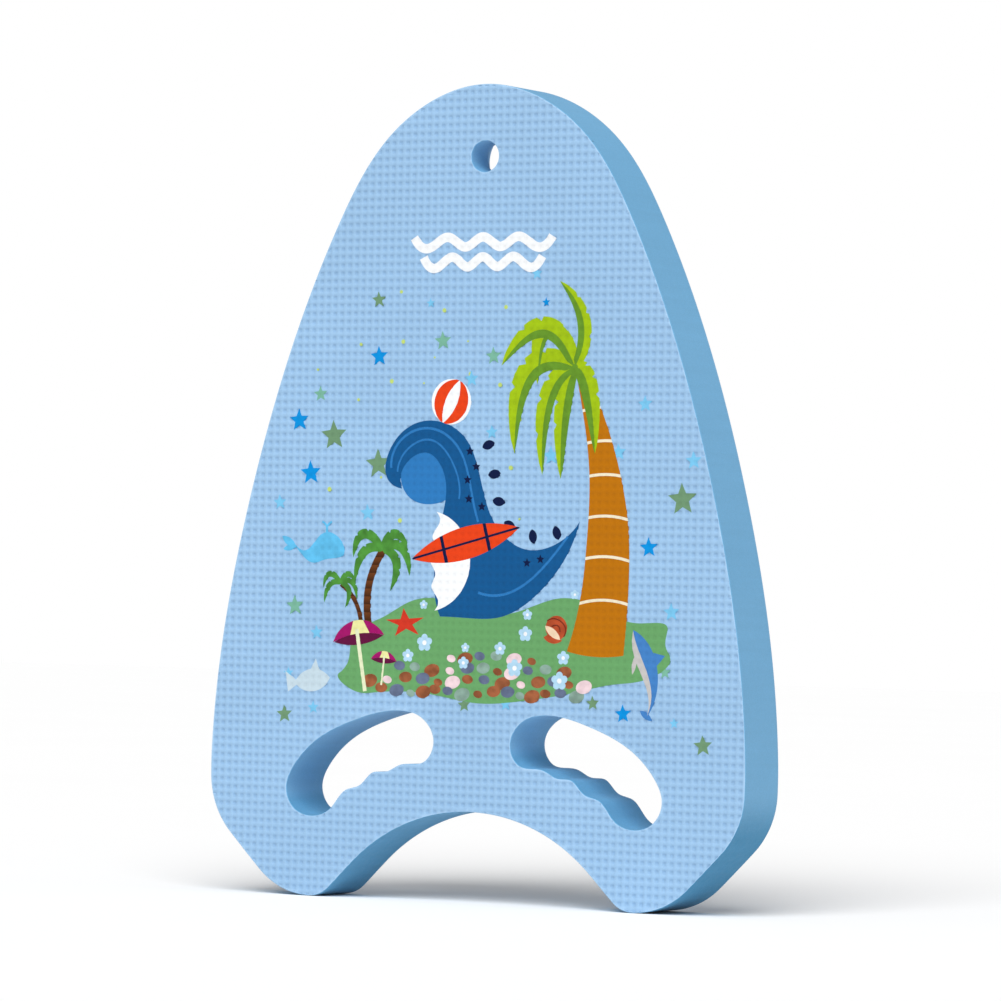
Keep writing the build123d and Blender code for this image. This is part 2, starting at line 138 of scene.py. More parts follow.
def cad_points(node):
    """Vertices in millimetres, and triangles, of a CAD node."""
    mesh = frame["nodes"][node].data
    points = np.zeros(len(mesh.vertices) * 3)
    mesh.vertices.foreach_get("co", points)
    mesh.calc_loop_triangles()
    tris = np.zeros(len(mesh.loop_triangles) * 3, int)
    mesh.loop_triangles.foreach_get("vertices", tris)
    return points.reshape(-1, 3) / MM, tris.reshape(-1, 3)


def cap_loops(node, y):
    """Closed outlines, material on their left, of the node's flat cap at that y."""
    points, tris = cad_points(node)
    keys = np.round(points, 3)
    unique, index = np.unique(keys, axis=0, return_inverse=True)
    tris = index.reshape(-1)[tris]
    on_cap = np.abs(unique[:, 1] - y) < CAP_REACH
    cap = tris[on_cap[tris].all(1)]
    flat = unique[:, [0, 2]]
    if double_area(flat, cap).sum() < 0:
        cap = cap[:, ::-1]
    cap = cap[(cap[:, 0] != cap[:, 1]) & (cap[:, 1] != cap[:, 2]) & (cap[:, 2] != cap[:, 0])]
    edges = Counter((int(t[k]), int(t[(k + 1) % 3])) for t in cap for k in range(3))
    ahead = {}
    for a, b in sorted(edges):
        for _ in range(edges[a, b] - edges.get((b, a), 0)):
            ahead.setdefault(a, []).append(b)
    loops = []
    while ahead:
        start = at = min(ahead)
        loop = []
        while not loop or at != start:
            loop.append(at)
            step = ahead[at].pop()
            if not ahead[at]:
                del ahead[at]
            at = step
        loops.append(flat[loop])
    return loops


def smooth_loop(loop, step):
    """The closed outline with points added on a centripetal curve through its own, corners kept."""
    count = len(loop)
    run = np.roll(loop, -1, 0) - loop
    run = run / np.maximum(np.linalg.norm(run, axis=1), 1e-9)[:, None]
    corner = (run * np.roll(run, 1, 0)).sum(1) < CORNER
    made = []
    for k in range(count):
        p = [loop[(k + d) % count] for d in (-1, 0, 1, 2)]
        if corner[k]:
            p[0] = 2 * p[1] - p[2]
        if corner[(k + 1) % count]:
            p[3] = 2 * p[2] - p[1]
        gaps = [max(np.linalg.norm(p[i + 1] - p[i]), 1e-6) for i in range(3)]
        parts = max(1, int(math.ceil(gaps[1] / step)))
        knots = np.cumsum([0.0] + [math.sqrt(g) for g in gaps])
        for s in range(parts):
            t = knots[1] + (knots[2] - knots[1]) * s / parts
            level = list(p)
            for order in (1, 2):
                level = [
                    ((knots[i + order] - t) * level[i] + (t - knots[i]) * level[i + 1])
                    / (knots[i + order] - knots[i])
                    for i in range(len(level) - 1)
                ]
            spot = (knots[2] - t) * level[0] + (t - knots[1]) * level[1]
            made.append(spot / (knots[2] - knots[1]))
    return np.array(made)


def inset(loop, amount):
    """The outline with each point moved into the material."""
    ahead = np.roll(loop, -1, 0) - loop
    ahead /= np.maximum(np.linalg.norm(ahead, axis=1), 1e-6)[:, None]
    behind = np.roll(ahead, 1, 0)
    along = ahead + behind
    along /= np.maximum(np.linalg.norm(along, axis=1), 1e-6)[:, None]
    miter = 1 / np.maximum((along * ahead).sum(1), 0.5)
    return loop + np.stack([-along[:, 1], along[:, 0]], 1) * amount * miter[:, None]


def inside(points, loops):
    """Even-odd test of points against all the outlines together."""
    odd = np.zeros(len(points), bool)
    x, z = points[:, 0], points[:, 1]
    for loop in loops:
        low, high = loop.min(0), loop.max(0)
        near = np.nonzero((z >= low[1]) & (z <= high[1]) & (x <= high[0]))[0]
        px, pz = x[near], z[near]
        hit = np.zeros(len(near), bool)
        for a, b in zip(loop, np.roll(loop, -1, 0)):
            crosses = (a[1] > pz) != (b[1] > pz)
            if crosses.any():
                at = a[0] + (pz[crosses] - a[1]) * (b[0] - a[0]) / (b[1] - a[1])
                hit[crosses] ^= px[crosses] < at
        odd[near] ^= hit
    return odd


# ---- the embossed lattice ----

def local_table():
    """Where the 4 by 4 vertices of a dimple lie round its centre, and which are its floor."""
    edge, side, corner = LIP * LONG, LIP * SHORT, LIP * DIAGONAL
    place = np.zeros((4, 4, 2))
    deep = np.zeros((4, 4))
    for i, sx in enumerate((-1, -1, 1, 1)):
        for j, sz in enumerate((-1, -1, 1, 1)):
            outer_x, outer_z = i in (0, 3), j in (0, 3)
            if outer_x and outer_z:
                spot = (corner, corner)
            elif outer_x:
                spot = (edge, side)
            elif outer_z:
                spot = (side, edge)
            else:
                spot = (FLOOR_HALF, FLOOR_HALF)
                deep[i, j] = 1
            place[i, j] = (sx * spot[0], sz * spot[1])
    return place, deep


def lattice(low, high):
    """The embossed sheet over a rectangle: vertices, depths, triangles, the number of vertices in
    a column, and where its columns and rows lie."""
    place, deep = local_table()
    first = np.floor((np.array(low) - PITCH) / PITCH).astype(int)
    last = np.ceil((np.array(high) + PITCH) / PITCH).astype(int)
    cells = last - first
    i, j = np.meshgrid(np.arange(4 * cells[0]), np.arange(4 * cells[1]), indexing="ij")
    centre = np.stack([i // 4 + first[0], j // 4 + first[1]], -1) * PITCH
    verts = centre + place[i % 4, j % 4]
    depth = deep[i % 4, j % 4] * PIT_DEPTH
    rows = 4 * cells[1]
    ids = i * rows + j
    q00, q10, q01, q11 = ids[:-1, :-1], ids[1:, :-1], ids[:-1, 1:], ids[1:, 1:]
    straight = ((i[:-1, :-1] % 4 < 2) == (j[:-1, :-1] % 4 < 2))[..., None]
    one = np.where(straight, np.stack([q00, q10, q11], -1), np.stack([q00, q10, q01], -1))
    two = np.where(straight, np.stack([q00, q11, q01], -1), np.stack([q10, q11, q01], -1))
    tris = np.stack([one, two], 2).reshape(-1, 3)
    lines = []
    for a, offsets in enumerate((place[:, 1, 0], place[1, :, 1])):
        lines.append(np.array([c * PITCH + o for c in range(first[a], last[a]) for o in offsets]))
    return verts.reshape(-1, 2), depth.reshape(-1), tris, rows, lines


def near_outline(loops, rows, lines, columns):
    """Marks the lattice quads that an outline passes through or close to."""
    flags = np.zeros((columns - 1, rows - 1), bool)
    for loop in loops:
        ahead = np.roll(loop, -1, 0)
        gaps = np.linalg.norm(ahead - loop, axis=1)
        for a, b, gap in zip(loop, ahead, gaps):
            share = np.linspace(0, 1, max(2, int(gap / TRACE_STEP) + 1))[:, None]
            spots = a + (b - a) * share
            i = np.searchsorted(lines[0], spots[:, 0]) - 1
            j = np.searchsorted(lines[1], spots[:, 1]) - 1
            for di in (-1, 0, 1):
                for dj in (-1, 0, 1):
                    column = np.clip(i + di, 0, columns - 2)
                    flags[column, np.clip(j + dj, 0, rows - 2)] = True
    return flags


def clip_lattice(loops):
    """The embossed sheet cut to the outlines: points, depths, triangles and the open edges."""
    outline = np.concatenate(loops)
    verts, depth, tris, rows, lines = lattice(outline.min(0), outline.max(0))
    columns = len(verts) // rows
    flags = np.repeat(near_outline(loops, rows, lines, columns).reshape(-1), 2)
    keep = inside(verts, loops)
    inner = tris[~flags & keep[tris].all(1)]
    border = tris[flags]
    used, local = np.unique(border, return_inverse=True)
    local = local.reshape(-1, 3)
    base = verts[used]
    coords = [Vector(p) for p in np.concatenate([base, outline])]
    faces = [tuple(int(v) for v in t) for t in local]
    out_v, _, out_f, orig_v, _, orig_f = delaunay_2d_cdt(
        coords, loop_edges(loops, len(base)), faces, 1, CDT_EPSILON, True)
    out_v = np.array([(v[0], v[1]) for v in out_v])
    kept = [k for k, f in enumerate(out_f) if orig_f[k] and len(f) == 3]
    tri = np.array([out_f[k] for k in kept])
    parent = np.array([orig_f[k][0] for k in kept])
    within = inside(out_v[tri].mean(1), loops)
    tri, parent = tri[within], parent[within]
    points, depths = list(verts), list(depth)
    number = {}
    for row, face in zip(tri, parent):
        for v in row:
            v = int(v)
            if v in number:
                continue
            own = [o for o in orig_v[v] if o < len(base)]
            if own:
                number[v] = int(used[own[0]])
                continue
            corners = local[face]
            a, b, c = base[corners]
            grid = np.array([[b[0] - a[0], c[0] - a[0]], [b[1] - a[1], c[1] - a[1]]])
            s, t = np.linalg.solve(grid, out_v[v] - a)
            da, db, dc = depth[used[corners]]
            number[v] = len(points)
            points.append(out_v[v])
            depths.append(da + s * (db - da) + t * (dc - da))
    outer = np.array([[number[int(v)] for v in row] for row in tri])
    every = np.concatenate([inner, outer])
    used, every = np.unique(every, return_inverse=True)
    every = every.reshape(-1, 3)
    points, depths = np.array(points)[used], np.array(depths)[used]
    every = anticlockwise(points, every[np.abs(double_area(points, every)) > LEAST_AREA])
    return points, depths, every, open_edges(every)


def open_edges(tris):
    """Directed edges that only one triangle uses."""
    pairs = np.concatenate([tris[:, [0, 1]], tris[:, [1, 2]], tris[:, [2, 0]]])
    size = tris.max() + 1
    forward = pairs[:, 0] * size + pairs[:, 1]
    backward = pairs[:, 1] * size + pairs[:, 0]
    return pairs[~np.isin(forward, backward)]


def fill(loops):
    """Triangles over flat outlines, their points numbered as the outlines' own."""
    coords = [Vector(p) for p in np.concatenate(loops)]
    out_v, _, out_f, orig_v, _, _ = delaunay_2d_cdt(
        coords, loop_edges(loops, 0), [], 0, CDT_EPSILON, True)
    out = np.array([(v[0], v[1]) for v in out_v])
    tri = np.array(out_f)
    tri = tri[inside(out[tri].mean(1), loops)]
    number = np.array([min(o) if o else -1 for o in orig_v])
    return number[tri]


# ---- meshes ----

def sharp_flags(mesh):
    """Which edges are marked sharp."""
    flags = np.zeros(len(mesh.edges), bool)
    mesh.edges.foreach_get("use_edge_sharp", flags)
    return flags


def mark_sharp(mesh, pairs):
    """Marks the edges along the given vertex pairs, and no others, as sharp."""
    size = len(mesh.vertices)
    ends = np.zeros(len(mesh.edges) * 2, np.int64)
    mesh.edges.foreach_get("vertices", ends)
    ends = np.sort(ends.reshape(-1, 2), axis=1)
    pairs = np.sort(np.asarray(pairs, np.int64), axis=1)
    marked = np.isin(ends[:, 0] * size + ends[:, 1], pairs[:, 0] * size + pairs[:, 1])
    mesh.edges.foreach_set("use_edge_sharp", marked)


def weld(mesh):
    """Joins vertices that all but touch."""
    shape = bmesh.new()
    shape.from_mesh(mesh)
    bmesh.ops.remove_doubles(shape, verts=shape.verts, dist=TOUCH * MM)
    shape.to_mesh(mesh)
    shape.free()


def new_piece(name, verts, faces, slots, material_index, attributes, node, sharp=None):
    """Mesh object that stands for one CAD node, from vertices in millimetres."""
    mesh = bpy.data.meshes.new(name)
    corners = [tuple(int(i) for i in f) for f in faces]
    mesh.from_pydata([tuple(v) for v in verts * MM], [], corners)
    for material in slots:
        mesh.materials.append(material)
    mesh.polygons.foreach_set("material_index", np.asarray(material_index, np.int32))
    for label, values in attributes.items():
        layer = mesh.attributes.new(label, "FLOAT", "POINT")
        layer.data.foreach_set("value", np.asarray(values, np.float32))
    mesh.polygons.foreach_set("use_smooth", np.ones(len(mesh.polygons), bool))
    if sharp is not None:
        mark_sharp(mesh, sharp)
    weld(mesh)
    kept = sharp_flags(mesh)
    mesh.set_sharp_from_angle(angle=math.radians(SHARP_DEGREES))
    mesh.edges.foreach_set("use_edge_sharp", sharp_flags(mesh) | kept)
    mesh.validate()
    mesh.update()
    piece = bpy.data.objects.new(name, mesh)
    bpy.context.scene.collection.objects.link(piece)
    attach(piece, "root")
    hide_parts(node)
    return piece


def board_points(flat, y):
    """Front-view points (x, z) set at y."""
    return np.stack([flat[:, 0], np.broadcast_to(y, len(flat)), flat[:, 1]], -1)


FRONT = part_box("front_facing")[0].y / MM
FRONT_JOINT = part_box("front_facing")[1].y / MM
BACK_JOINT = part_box("back_facing")[0].y / MM
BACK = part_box("back_facing")[1].y / MM


def board_loops(node, y):
    """Smoothed outlines of a board layer, the hang hole last."""
    loops = sorted(cap_loops(node, y), key=lambda p: -np.ptp(p[:, 0]))
    steps = (OUTLINE_STEP, OUTLINE_STEP, OUTLINE_STEP, HANG_STEP)
    return [smooth_loop(loop, step) for loop, step in zip(loops, steps)]


def hang_radius(loop):
    """Half the width of an outline."""
    return np.ptp(loop[:, 0]) / 2


FRONT_LOOPS = board_loops("front_facing", FRONT)
HANG_CENTRE = (FRONT_LOOPS[3].min(0) + FRONT_LOOPS[3].max(0)) / 2
R_FRONT = hang_radius(FRONT_LOOPS[3])
R_BACK = hang_radius(board_loops("back_facing", BACK)[3])
R_BACK_JOINT = hang_radius(board_loops("back_facing", BACK_JOINT)[3])
FLARE_START = BACK - (BACK - BACK_JOINT) * (R_BACK - R_FRONT) / (R_BACK - R_BACK_JOINT)


def hang_radius_at(y):
    """The hang hole's radius at y: straight from the front, then flared to the back."""
    if y <= FLARE_START:
        return R_FRONT
    return R_FRONT + (R_BACK - R_FRONT) * (y - FLARE_START) / (BACK - FLARE_START)


def loops_at(y):
    """The board's outlines on the plane at y."""
    scale = hang_radius_at(y) / R_FRONT
    return FRONT_LOOPS[:3] + [HANG_CENTRE + (FRONT_LOOPS[3] - HANG_CENTRE) * scale]


def on_chord(spots, loops):
    """For each spot, the outline, chord and share along it that it lies nearest to."""
    best = np.full(len(spots), np.inf)
    found = np.zeros((len(spots), 2), int)
    share = np.zeros(len(spots))
    for number, loop in enumerate(loops):
        a, b = loop, np.roll(loop, -1, 0)
        run = b - a
        t = ((spots[:, None] - a[None]) * run[None]).sum(-1) / (run * run).sum(-1)[None]
        t = np.clip(t, 0, 1)
        gap = np.linalg.norm(a[None] + t[..., None] * run[None] - spots[:, None], axis=-1)
        chord = gap.argmin(1)
        rows = np.arange(len(spots))
        closer = gap[rows, chord] < best
        best[closer] = gap[rows, chord][closer]
        found[closer] = np.stack([np.full(len(spots), number), chord], 1)[closer]
        share[closer] = t[rows, chord][closer]
    return found, share


def follow(found, share, loops):
    """The same chords and shares read on another set of outlines."""
    spots = np.zeros((len(found), 2))
    for number, loop in enumerate(loops):
        mine = found[:, 0] == number
        a, b = loop[found[mine, 1]], np.roll(loop, -1, 0)[found[mine, 1]]
        spots[mine] = a + (b - a) * share[mine, None]
    return spots


def painted_light_and_shade_of(loops):
    """The painted shade, or below 0 painted light, of the cut wall at each outline point, by how
    far the wall faces up or down.
    """
    shares = []
    for number, loop in enumerate(loops):
        run = np.roll(loop, -1, 0) - np.roll(loop, 1, 0)
        up = -run[:, 0] / np.linalg.norm(run, axis=1)
        level = np.clip(np.abs(up) / FULL_PAINTED_SHADE_AT, 0, 1)
        level = level * level * (3 - 2 * level)
        if number == 0:
            hip = 1 + HIP_PAINTED_SHADE * (np.abs(loop[:, 0]) > HIP_FROM)
            shares.append(np.where(up < 0, level * hip, TOP_PAINTED_SHADE * level))
        else:
            upright, floor = HOLE_PAINTED_LIGHT_AND_SHADE[number - 1]
            shares.append(np.where(up < 0, upright, upright + (floor - upright) * level))
    return shares


def read_painted_light_and_shade(found, share, shares):
    """Painted light and shade values at chords and shares along the outlines."""
    made = np.zeros(len(found))
    for number, values in enumerate(shares):
        mine = found[:, 0] == number
        a, b = values[found[mine, 1]], np.roll(values, -1)[found[mine, 1]]
        made[mine] = a + (b - a) * share[mine]
    return made


def facing(name, node, outer_y, joint_y, materials):
    """Embossed sheet with a softly rounded edge, closed at the joint with the core."""
    out = 1 if outer_y > joint_y else -1
    loops = loops_at(outer_y)
    face_loops = [inset(loop, EDGE_ROUND) for loop in loops]
    points, depths, tris, rim = clip_lattice(face_loops)
    rim_ids = np.unique(rim)
    pits = depths / PIT_DEPTH
    depths[rim_ids] *= RIM_SHARE
    found, share = on_chord(points[rim_ids], face_loops)
    rings = []
    for in_share, down, highlight_and_wear in EDGE_RINGS:
        part = [inset(loop, EDGE_ROUND * in_share) for loop in loops]
        drop = EDGE_DROP * (1 + EDGE_DROP_GAIN * down)
        sunk = np.maximum(depths[rim_ids] + drop, EDGE_ROUND * down)
        rings.append((follow(found, share, part), outer_y - out * sunk, highlight_and_wear))
    rings.append((follow(found, share, loops_at(joint_y)), joint_y, 0.0))

    count, width = len(points), len(rim_ids)
    face_highlight_and_wear = np.zeros(count)
    face_highlight_and_wear[rim_ids] = 1
    rim_painted_light_and_shade = read_painted_light_and_shade(found, share, painted_light_and_shade_of(loops))
    verts = [board_points(points, outer_y - out * depths)]
    verts += [board_points(spots, y) for spots, y, _ in rings]
    verts = np.concatenate(verts)
    # Per vertex: dimple depth, the rim's painted highlight with wear, and the walls' painted shade
    # and light
    attributes = {
        "pit": np.concatenate([pits, np.zeros(width * len(rings))]),
        "edge": np.concatenate([face_highlight_and_wear] + [np.full(width, highlight_and_wear) for _, _, highlight_and_wear in rings]),
        "painted_light_and_shade": np.concatenate([np.zeros(count)] + [rim_painted_light_and_shade] * len(rings)),
    }

    slot_of = np.full(count, -1)
    slot_of[rim_ids] = np.arange(width)
    faces = [tuple(t) if out < 0 else tuple(t[::-1]) for t in tris]
    index = [0] * len(faces)
    top = rim
    for level in range(len(rings)):
        low = count + level * width + slot_of[rim]
        quads = np.stack([top[:, 1], top[:, 0], low[:, 0], low[:, 1]], 1)
        if out > 0:
            quads = quads[:, ::-1]
        faces += [tuple(q) for q in quads]
        index += [0 if level == 0 else 1] * len(quads)
        top = low

    cap_ids = [count + (len(rings) - 1) * width + slot_of[chain] for chain in ordered(rim)]
    flat = verts[:, [0, 2]]
    cap = anticlockwise(flat, np.concatenate(cap_ids)[fill([flat[ids] for ids in cap_ids])])
    faces += [tuple(t[::-1]) if out < 0 else tuple(t) for t in cap]
    index += [1] * len(cap)
    return new_piece(name, verts, faces, materials, index, attributes, node)


def ordered(rim):
    """Open edges joined into closed chains of vertex numbers."""
    ahead = {int(a): int(b) for a, b in rim}
    chains = []
    while ahead:
        start = min(ahead)
        chain, at = [start], ahead.pop(start)
        while at != start:
            chain.append(at)
            at = ahead.pop(at)
        chains.append(np.array(chain))
    return chains


def core(name, node, material):
    """Foam slab between the facings, its walls in several bands."""
    straight = np.linspace(FRONT_JOINT, FLARE_START, STRAIGHT_BANDS + 1)
    flare = np.linspace(FLARE_START, BACK_JOINT, FLARE_BANDS + 1)
    levels = [*straight, *flare[1:]]
    flats = [np.concatenate(loops_at(y)) for y in levels]
    verts = np.concatenate([board_points(flat, y) for flat, y in zip(flats, levels)])
    total = len(flats[0])
    faces = []
    for level in range(len(levels) - 1):
        low, high = level * total, (level + 1) * total
        faces += [(low + b, low + a, high + a, high + b) for a, b in loop_edges(FRONT_LOOPS, 0)]
    for level, turned in ((0, False), (len(levels) - 1, True)):
        cap = anticlockwise(flats[level], fill(loops_at(levels[level]))) + level * total
        faces += [tuple(t[::-1]) if turned else tuple(t) for t in cap]
    # The core's walls carry the same painted shade and light
    attributes = {"painted_light_and_shade": np.tile(np.concatenate(painted_light_and_shade_of(FRONT_LOOPS)), len(levels))}
    return new_piece(name, verts, faces, [material], [0] * len(faces), attributes, node)


def ink_patch(name, node, material):
    """Thin closed film that follows the embossing under it."""
    top_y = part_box(node)[0].y / MM
    loops = cap_loops(node, top_y)
    loops = [smooth_loop(loop, INK_STEP) if len(loop) > INK_PLAIN else loop for loop in loops]
    points, depths, tris, rim = clip_lattice([inset(loop, INK_GAP) for loop in loops])
    count = len(points)
    top = board_points(points, top_y + INK_SINK * depths)
    root = board_points(points, FRONT + INK_ROOT + depths)
    faces = [tuple(t) for t in tris] + [tuple(t[::-1] + count) for t in tris]
    faces += [(int(b), int(a), int(a) + count, int(b) + count) for a, b in rim]
    pit = np.concatenate([depths, depths]) / PIT_DEPTH
    verts = np.concatenate([top, root])
    sharp = np.concatenate([rim, rim + count])
    return new_piece(name, verts, faces, [material], [0] * len(faces), {"pit": pit}, node, sharp)


# ---- materials ----

# Linear colours: face land, dimples with painted shade, rim with painted highlight and wear, the
# wall's two tones and its painted shade
LAND = (0.260, 0.428, 0.626)
DIMPLE_PAINTED_SHADE = (0.228, 0.384, 0.578)
RIM_HIGHLIGHT_AND_WEAR = (0.46, 0.66, 0.85)
WALL_TONES = (0.143, 0.376, 0.610), (0.158, 0.402, 0.645)
WALL_PAINTED_SHADE = (0.078, 0.290, 0.500)
# The part of a noise texture's range that it mostly keeps to
NOISE_LOW, NOISE_HIGH = 0.3, 0.7
# Texture scales per metre
FACE_GRAIN, FACE_CELLS = 1300, 1900
WALL_CELLS, WALL_MARKS = 1500, 260
INK_GRAIN = 1100
# Ink colours in this light, and down in the dimples, as shares of the slot's colour
INK_SHADE = 0.77
INK_PIT_SHADE = 0.95


def new_material(name):
    material = bpy.data.materials.new(name)
    material.use_nodes = True
    tree = material.node_tree
    shader = tree.nodes["Principled BSDF"]
    return material, tree, shader


def noise(tree, place, scale, detail):
    node = tree.nodes.new("ShaderNodeTexNoise")
    node.inputs["Scale"].default_value = scale
    node.inputs["Detail"].default_value = detail
    tree.links.new(place, node.inputs["Vector"])
    return node.outputs["Fac"]


def cells(tree, place, scale):
    node = tree.nodes.new("ShaderNodeTexVoronoi")
    node.inputs["Scale"].default_value = scale
    tree.links.new(place, node.inputs["Vector"])
    return node.outputs["Distance"]


def ramp(tree, value, low, high, to_low, to_high):
    node = tree.nodes.new("ShaderNodeMapRange")
    node.inputs["From Min"].default_value = low
    node.inputs["From Max"].default_value = high
    node.inputs["To Min"].default_value = to_low
    node.inputs["To Max"].default_value = to_high
    tree.links.new(value, node.inputs["Value"])
    return node.outputs["Result"]


def blend(tree, factor, first, second, mode="MIX"):
    """Colour mix; first and second are colours or sockets."""
    node = tree.nodes.new("ShaderNodeMix")
    node.data_type = "RGBA"
    node.blend_type = mode
    for socket, value in ((node.inputs[6], first), (node.inputs[7], second)):
        if hasattr(value, "is_output"):
            tree.links.new(value, socket)
        else:
            socket.default_value = (*value, 1)
    if hasattr(factor, "is_output"):
        tree.links.new(factor, node.inputs[0])
    else:
        node.inputs[0].default_value = factor
    return node.outputs[2]


def toned(tree, color, value):
    """A colour multiplied by a number."""
    node = tree.nodes.new("ShaderNodeCombineColor")
    for name in ("Red", "Green", "Blue"):
        tree.links.new(value, node.inputs[name])
    return blend(tree, 1.0, color, node.outputs["Color"], "MULTIPLY")


def mottle(tree, place, scale, detail, to_low, to_high):
    """Noise stretched to run from one value to another."""
    return ramp(tree, noise(tree, place, scale, detail), NOISE_LOW, NOISE_HIGH, to_low, to_high)


def attribute(tree, name):
    node = tree.nodes.new("ShaderNodeAttribute")
    node.attribute_name = name
    return node.outputs["Fac"]


def bumps(tree, shader, layers):
    """Chain of bump nodes from (height, strength, distance in metres)."""
    normal = None
    for height, strength, distance in layers:
        node = tree.nodes.new("ShaderNodeBump")
        node.inputs["Strength"].default_value = strength
        node.inputs["Distance"].default_value = distance
        tree.links.new(height, node.inputs["Height"])
        if normal is not None:
            tree.links.new(normal, node.inputs["Normal"])
        normal = node.outputs["Normal"]
    tree.links.new(normal, shader.inputs["Normal"])


def object_place(tree, stretch=(1, 1, 1)):
    coordinates = tree.nodes.new("ShaderNodeTexCoord")
    mapping = tree.nodes.new("ShaderNodeMapping")
    mapping.inputs["Scale"].default_value = stretch
    tree.links.new(coordinates.outputs["Object"], mapping.inputs["Vector"])
    return mapping.outputs["Vector"]


def scaled(color, factor):
    return tuple(min(1.0, c * factor) for c in color)


def foam_face():
    """Embossed EVA skin: dimples darkened as painted shade, fine closed cells, and a pale rim that
    is a painted highlight with wear.
    """
    material, tree, shader = new_material("foam_face")
    place = object_place(tree)
    # Painted shade: dimples darker than the land by their depth
    color = blend(tree, ramp(tree, attribute(tree, "pit"), 0.05, 0.9, 0.0, 1.0), LAND, DIMPLE_PAINTED_SHADE)
    color = toned(tree, color, mottle(tree, place, 14, 3, 0.965, 1.035))
    color = toned(tree, color, mottle(tree, place, FACE_GRAIN, 2, 0.965, 1.03))
    # Painted highlight along the face's rim, patchy like wear
    highlight_and_wear_patches = ramp(tree, noise(tree, place, 60, 3), 0.35, 0.75, 0.1, 0.45)
    rim = tree.nodes.new("ShaderNodeMath")
    rim.operation = "MULTIPLY"
    tree.links.new(attribute(tree, "edge"), rim.inputs[0])
    tree.links.new(highlight_and_wear_patches, rim.inputs[1])
    color = blend(tree, rim.outputs[0], color, RIM_HIGHLIGHT_AND_WEAR)
    tree.links.new(color, shader.inputs["Base Color"])
    tree.links.new(mottle(tree, place, 220, 3, 0.52, 0.68), shader.inputs["Roughness"])
    shader.inputs["Specular IOR Level"].default_value = 0.3
    shader.inputs["Sheen Weight"].default_value = 0.08
    bumps(tree, shader, [
        (noise(tree, place, FACE_GRAIN, 2), 0.25, 0.00006),
        (cells(tree, place, FACE_CELLS), 0.18, 0.00004),
    ])
    return material


def foam_wall():
    """Cut EVA wall: open cells, faint wire marks across the thickness, and painted shade and light
    from a vertex attribute.
    """
    material, tree, shader = new_material("foam_wall")
    place = object_place(tree)
    streak_place = object_place(tree, (1.0, 0.06, 1.0))
    color = blend(tree, mottle(tree, place, 9, 2, 0.0, 1.0), *WALL_TONES)
    # Painted shade on walls in the holes and on walls that face up or down
    color = blend(tree, attribute(tree, "painted_light_and_shade"), color, WALL_PAINTED_SHADE)
    # A value below 0 goes past the plain colour to a paler one: painted light
    color.node.clamp_factor = False
    color = toned(tree, color, ramp(tree, cells(tree, place, WALL_CELLS), 0.0, 0.7, 0.93, 1.05))
    color = toned(tree, color, mottle(tree, streak_place, WALL_MARKS, 3, 0.975, 1.025))
    tree.links.new(color, shader.inputs["Base Color"])
    tree.links.new(mottle(tree, place, 300, 3, 0.62, 0.78), shader.inputs["Roughness"])
    shader.inputs["Specular IOR Level"].default_value = 0.25
    shader.inputs["Sheen Weight"].default_value = 0.1
    bumps(tree, shader, [
        (noise(tree, streak_place, WALL_MARKS, 3), 0.25, 0.00012),
        (cells(tree, place, WALL_CELLS), 0.35, 0.00008),
    ])
    return material


# Inks printed in several tones, with how far each goes lighter and darker
TONES = {
    "ink_brown": 0.24,
    "ink_slate": 0.16,
    "ink_sage": 0.16,
    "ink_pink": 0.08,
    "ink_palm_green": 0.2,
    "ink_leaf_green": 0.07,
    "ink_leaf_yellow": 0.05,
    "ink_sky_blue": 0.08,
    "ink_shell_brown": 0.15,
}
# Inks printed in bands, with the height of a band in metres
BANDS = {"ink_dark_brown": 0.0042}
# Inks whose printed colour is off the slot's plain colour, by a factor for each channel
TRIM = {
    "ink_deep_blue": (0.6, 0.86, 0.84),
    "ink_island_green": (1.22, 0.95, 1.22),
    "ink_star_green": (1.15, 0.97, 1.15),
    "ink_star_blue": (0.4, 1.05, 0.95),
    "ink_trunk_orange": (0.97, 1.08, 0.5),
    "ink_leaf_green": (1.45, 1.13, 0.9),
    "ink_red": (0.9, 0.93, 1.0),
}


def banded(tree, place, height):
    """Saw-toothed bands up the board, from 0 to 1. A band is pi / 10 of a metre at scale 1."""
    node = tree.nodes.new("ShaderNodeTexWave")
    node.bands_direction = "Z"
    node.wave_profile = "SAW"
    node.inputs["Scale"].default_value = math.pi / 10 / height
    node.inputs["Distortion"].default_value = 0.4
    tree.links.new(place, node.inputs["Vector"])
    return node.outputs["Fac"]


def ink(slot):
    """Transfer ink over the embossing, a little darker down in the dimples."""
    material, tree, shader = new_material(slot)
    place = object_place(tree)
    trim = TRIM.get(slot, (1, 1, 1))
    base = scaled([c * t for c, t in zip(SLOT_COLOR[slot], trim)], INK_SHADE)
    deep = ramp(tree, attribute(tree, "pit"), 0.1, 0.9, 0.0, 1.0)
    color = blend(tree, deep, base, scaled(base, INK_PIT_SHADE))
    if slot in TONES:
        spread = TONES[slot]
        tone = ramp(tree, noise(tree, place, 170, 1), 0.36, 0.64, 1 - spread, 1 + spread)
        color = toned(tree, color, tone)
    if slot in BANDS:
        tone = ramp(tree, banded(tree, place, BANDS[slot]), 0.0, 1.0, 0.55, 1.5)
        color = toned(tree, color, tone)
    color = toned(tree, color, mottle(tree, place, 30, 3, 0.97, 1.03))
    color = toned(tree, color, mottle(tree, place, INK_GRAIN, 2, 0.97, 1.02))
    tree.links.new(color, shader.inputs["Base Color"])
    tree.links.new(mottle(tree, place, 250, 3, 0.40, 0.55), shader.inputs["Roughness"])
    shader.inputs["Specular IOR Level"].default_value = 0.08
    bumps(tree, shader, [(noise(tree, place, INK_GRAIN, 2), 0.2, 0.00005)])
    return material


